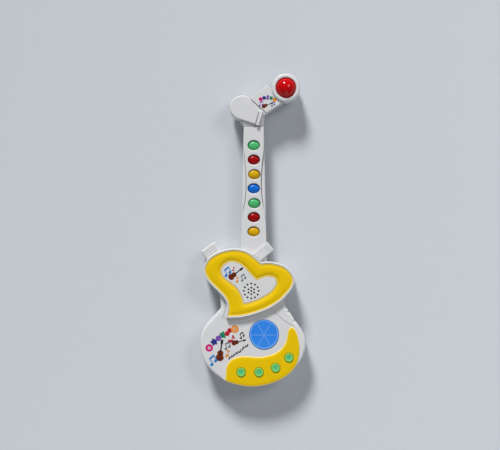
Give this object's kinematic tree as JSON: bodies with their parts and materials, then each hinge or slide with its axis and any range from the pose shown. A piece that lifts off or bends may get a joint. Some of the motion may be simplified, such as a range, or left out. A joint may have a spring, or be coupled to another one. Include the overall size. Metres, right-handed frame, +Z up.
{
  "type": "toy electric guitar",
  "caption": "Battery toy guitar lying on its back, with a heart-shaped speaker panel, coloured neck keys, round buttons, a blue light and a red dome on the bent head.",
  "frame": {"origin": "on the flat back face of the body, under its middle and on the neck's centre line, with the guitar lying on its back", "axes": "+Y along the neck towards the head, +Z up out of the front face, +X to the right seen from the front with the head up"},
  "size_m": [0.1251, 0.3701, 0.0375],
  "materials": {
    "white_abs": "moulded ABS, satin gloss",
    "yellow_abs": "moulded ABS, satin gloss",
    "blue_lens": "tinted translucent polystyrene, polished",
    "red_lens": "tinted translucent polystyrene, polished",
    "button_green": "moulded ABS, satin gloss",
    "key_green": "moulded ABS, satin gloss",
    "key_red": "moulded ABS, satin gloss",
    "key_yellow": "moulded ABS, satin gloss",
    "key_blue": "moulded ABS, satin gloss",
    "silicone": "moulded silicone, matt",
    "circuit_board": "glass-epoxy board with green solder mask",
    "epoxy": "cured epoxy blob",
    "led_resin": "clear diffused LED resin",
    "plated_steel": "zinc-plated steel",
    "speaker_paper": "pressed paper",
    "ferrite": "sintered ferrite",
    "cell_jacket": "printed film on a steel can; with its filling a cell is as dense as aluminium",
    "black_abs": "moulded ABS, matt",
    "wire_cover": "PVC insulation"
  },
  "bodies": {
    "guitar": {"back_shell": "white_abs", "front_shell": "white_abs", "heart_panel": "white_abs", "heart_trim": "yellow_abs", "crescent_panel": "yellow_abs", "disc_lens": "blue_lens", "button_keypad": "silicone", "main_board": "circuit_board", "chip_blob": "epoxy", "disc_led": "led_resin", "speaker_frame": "plated_steel", "speaker_cone": "speaker_paper", "speaker_magnet": "ferrite", "neck_back": "white_abs", "neck_front": "white_abs", "neck_keypad": "silicone", "neck_board": "circuit_board", "head_back": "white_abs", "head_front": "white_abs", "dome_lens": "red_lens", "dome_led": "led_resin", "led_board": "circuit_board", "cells": "cell_jacket", "cell_springs": "plated_steel", "cell_plates": "plated_steel", "switch_body": "plated_steel", "body_screws": "plated_steel", "foot_screws": "plated_steel", "neck_screws": "plated_steel", "head_screws": "plated_steel", "board_screws": "plated_steel", "ribbon_cable": "wire_cover", "speaker_wires": "wire_cover", "battery_wires": "wire_cover", "dome_led_wires": "wire_cover"},
    "button_1": {"button_1": "button_green"},
    "button_2": {"button_2": "button_green"},
    "button_3": {"button_3": "button_green"},
    "button_4": {"button_4": "button_green"},
    "key_1": {"key_1": "key_green"},
    "key_2": {"key_2": "key_red"},
    "key_3": {"key_3": "key_yellow"},
    "key_4": {"key_4": "key_blue"},
    "key_5": {"key_5": "key_green"},
    "key_6": {"key_6": "key_red"},
    "key_7": {"key_7": "key_yellow"},
    "switch_knob": {"switch_knob": "black_abs"},
    "battery_door": {"battery_door": "white_abs", "door_screw": "plated_steel"}
  },
  "joints": [
    {"name": "button_1_press", "type": "slide", "parent": "guitar", "child": "button_1", "axis": [0, 0, -1], "range_m": [0, 0.0012], "stiffness_N_per_m": 600, "springref_m": -0.0008},
    {"name": "button_2_press", "type": "slide", "parent": "guitar", "child": "button_2", "axis": [0, 0, -1], "range_m": [0, 0.0012], "stiffness_N_per_m": 600, "springref_m": -0.0008},
    {"name": "button_3_press", "type": "slide", "parent": "guitar", "child": "button_3", "axis": [0, 0, -1], "range_m": [0, 0.0012], "stiffness_N_per_m": 600, "springref_m": -0.0008},
    {"name": "button_4_press", "type": "slide", "parent": "guitar", "child": "button_4", "axis": [0, 0, -1], "range_m": [0, 0.0012], "stiffness_N_per_m": 600, "springref_m": -0.0008},
    {"name": "key_1_press", "type": "slide", "parent": "guitar", "child": "key_1", "axis": [0, 0, -1], "range_m": [0, 0.0012], "stiffness_N_per_m": 600, "springref_m": -0.0008},
    {"name": "key_2_press", "type": "slide", "parent": "guitar", "child": "key_2", "axis": [0, 0, -1], "range_m": [0, 0.0012], "stiffness_N_per_m": 600, "springref_m": -0.0008},
    {"name": "key_3_press", "type": "slide", "parent": "guitar", "child": "key_3", "axis": [0, 0, -1], "range_m": [0, 0.0012], "stiffness_N_per_m": 600, "springref_m": -0.0008},
    {"name": "key_4_press", "type": "slide", "parent": "guitar", "child": "key_4", "axis": [0, 0, -1], "range_m": [0, 0.0012], "stiffness_N_per_m": 600, "springref_m": -0.0008},
    {"name": "key_5_press", "type": "slide", "parent": "guitar", "child": "key_5", "axis": [0, 0, -1], "range_m": [0, 0.0012], "stiffness_N_per_m": 600, "springref_m": -0.0008},
    {"name": "key_6_press", "type": "slide", "parent": "guitar", "child": "key_6", "axis": [0, 0, -1], "range_m": [0, 0.0012], "stiffness_N_per_m": 600, "springref_m": -0.0008},
    {"name": "key_7_press", "type": "slide", "parent": "guitar", "child": "key_7", "axis": [0, 0, -1], "range_m": [0, 0.0012], "stiffness_N_per_m": 600, "springref_m": -0.0008},
    {"name": "switch_slide", "type": "slide", "parent": "guitar", "child": "switch_knob", "axis": [1, 0, 0], "range_m": [0, 0.004]},
    {"name": "battery_door_lift", "type": "slide", "parent": "guitar", "child": "battery_door", "axis": [0, 0, -1], "range_m": [0, 0.03]}
  ]
}
